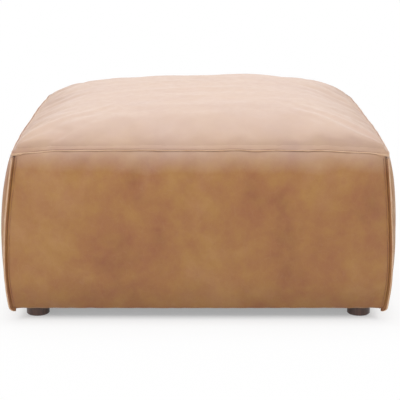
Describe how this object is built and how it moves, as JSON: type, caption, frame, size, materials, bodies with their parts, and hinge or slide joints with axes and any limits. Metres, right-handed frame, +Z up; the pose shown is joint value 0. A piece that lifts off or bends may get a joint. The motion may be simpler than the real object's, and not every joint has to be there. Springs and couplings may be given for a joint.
{
  "type": "upholstered ottoman",
  "caption": "Square box ottoman with a crowned soft seat, raised-seam leather cover, timber frame with springs and short round screw-in feet.",
  "frame": {"origin": "on the floor under the middle of the seat, at rest on its four glides", "axes": "+Z up, front towards -Y, +X to the right seen from the front"},
  "size_m": [0.93, 0.93, 0.4868],
  "materials": {
    "cover_leather": "satin",
    "foot_wood": "satin",
    "frame_timber": "matte",
    "hardboard": "matte",
    "foam": "matte",
    "cushion_fibre": "matte",
    "insulator": "matte",
    "dust_cloth": "matte",
    "spring_steel": "satin",
    "zinc_steel": "satin",
    "glide_plastic": "matte"
  },
  "bodies": {
    "ottoman": {"centre_stretcher": "frame_timber", "corner_block_back_left": "frame_timber", "corner_block_back_right": "frame_timber", "corner_block_front_left": "frame_timber", "corner_block_front_right": "frame_timber", "corner_block_screws": "zinc_steel", "corner_post_back_left": "frame_timber", "corner_post_back_right": "frame_timber", "corner_post_front_left": "frame_timber", "corner_post_front_right": "frame_timber", "cover_staples": "zinc_steel", "cross_wires": "spring_steel", "crown_cushion": "cushion_fibre", "dust_cover": "dust_cloth", "frame_screws": "zinc_steel", "insulator_cloth": "insulator", "leather_back": "cover_leather", "leather_front": "cover_leather", "leather_left": "cover_leather", "leather_right": "cover_leather", "leather_top": "cover_leather", "rail_back_bottom": "frame_timber", "rail_back_top": "frame_timber", "rail_front_bottom": "frame_timber", "rail_front_top": "frame_timber", "rail_left_bottom": "frame_timber", "rail_left_top": "frame_timber", "rail_right_bottom": "frame_timber", "rail_right_top": "frame_timber", "seat_foam": "foam", "side_board_back": "hardboard", "side_board_front": "hardboard", "side_board_left": "hardboard", "side_board_right": "hardboard", "side_foam_back": "foam", "side_foam_front": "foam", "side_foam_left": "foam", "side_foam_right": "foam", "sinuous_springs": "spring_steel", "spring_clips": "zinc_steel", "tee_nuts": "zinc_steel"},
    "glide_front_left": {"glide_front_left": "glide_plastic"},
    "foot_front_left": {"foot_front_left": "foot_wood", "hanger_bolt_front_left": "zinc_steel"},
    "glide_front_right": {"glide_front_right": "glide_plastic"},
    "foot_front_right": {"foot_front_right": "foot_wood", "hanger_bolt_front_right": "zinc_steel"},
    "glide_back_right": {"glide_back_right": "glide_plastic"},
    "foot_back_right": {"foot_back_right": "foot_wood", "hanger_bolt_back_right": "zinc_steel"},
    "glide_back_left": {"glide_back_left": "glide_plastic"},
    "foot_back_left": {"foot_back_left": "foot_wood", "hanger_bolt_back_left": "zinc_steel"}
  },
  "joints": [
    {"name": "foot_front_left_travel", "type": "slide", "parent": "ottoman", "child": "glide_front_left", "axis": [0, 0, -1], "range_m": [0, 0.01375]},
    {"name": "foot_front_left_turn", "type": "hinge", "parent": "glide_front_left", "child": "foot_front_left", "pos_m": [-0.3875, -0.3875, 0.016], "axis": [0, 0, -1], "range_deg": [0, 3960]},
    {"name": "foot_front_right_travel", "type": "slide", "parent": "ottoman", "child": "glide_front_right", "axis": [0, 0, -1], "range_m": [0, 0.01375]},
    {"name": "foot_front_right_turn", "type": "hinge", "parent": "glide_front_right", "child": "foot_front_right", "pos_m": [0.3875, -0.3875, 0.016], "axis": [0, 0, -1], "range_deg": [0, 3960]},
    {"name": "foot_back_right_travel", "type": "slide", "parent": "ottoman", "child": "glide_back_right", "axis": [0, 0, -1], "range_m": [0, 0.01375]},
    {"name": "foot_back_right_turn", "type": "hinge", "parent": "glide_back_right", "child": "foot_back_right", "pos_m": [0.3875, 0.3875, 0.016], "axis": [0, 0, -1], "range_deg": [0, 3960]},
    {"name": "foot_back_left_travel", "type": "slide", "parent": "ottoman", "child": "glide_back_left", "axis": [0, 0, -1], "range_m": [0, 0.01375]},
    {"name": "foot_back_left_turn", "type": "hinge", "parent": "glide_back_left", "child": "foot_back_left", "pos_m": [-0.3875, 0.3875, 0.016], "axis": [0, 0, -1], "range_deg": [0, 3960]}
  ],
  "couplings": [
    {"joint": "foot_front_left_turn", "follows": "foot_front_left_travel", "rad_per_m": 5026.5},
    {"joint": "foot_front_right_turn", "follows": "foot_front_right_travel", "rad_per_m": 5026.5},
    {"joint": "foot_back_right_turn", "follows": "foot_back_right_travel", "rad_per_m": 5026.5},
    {"joint": "foot_back_left_turn", "follows": "foot_back_left_travel", "rad_per_m": 5026.5}
  ]
}
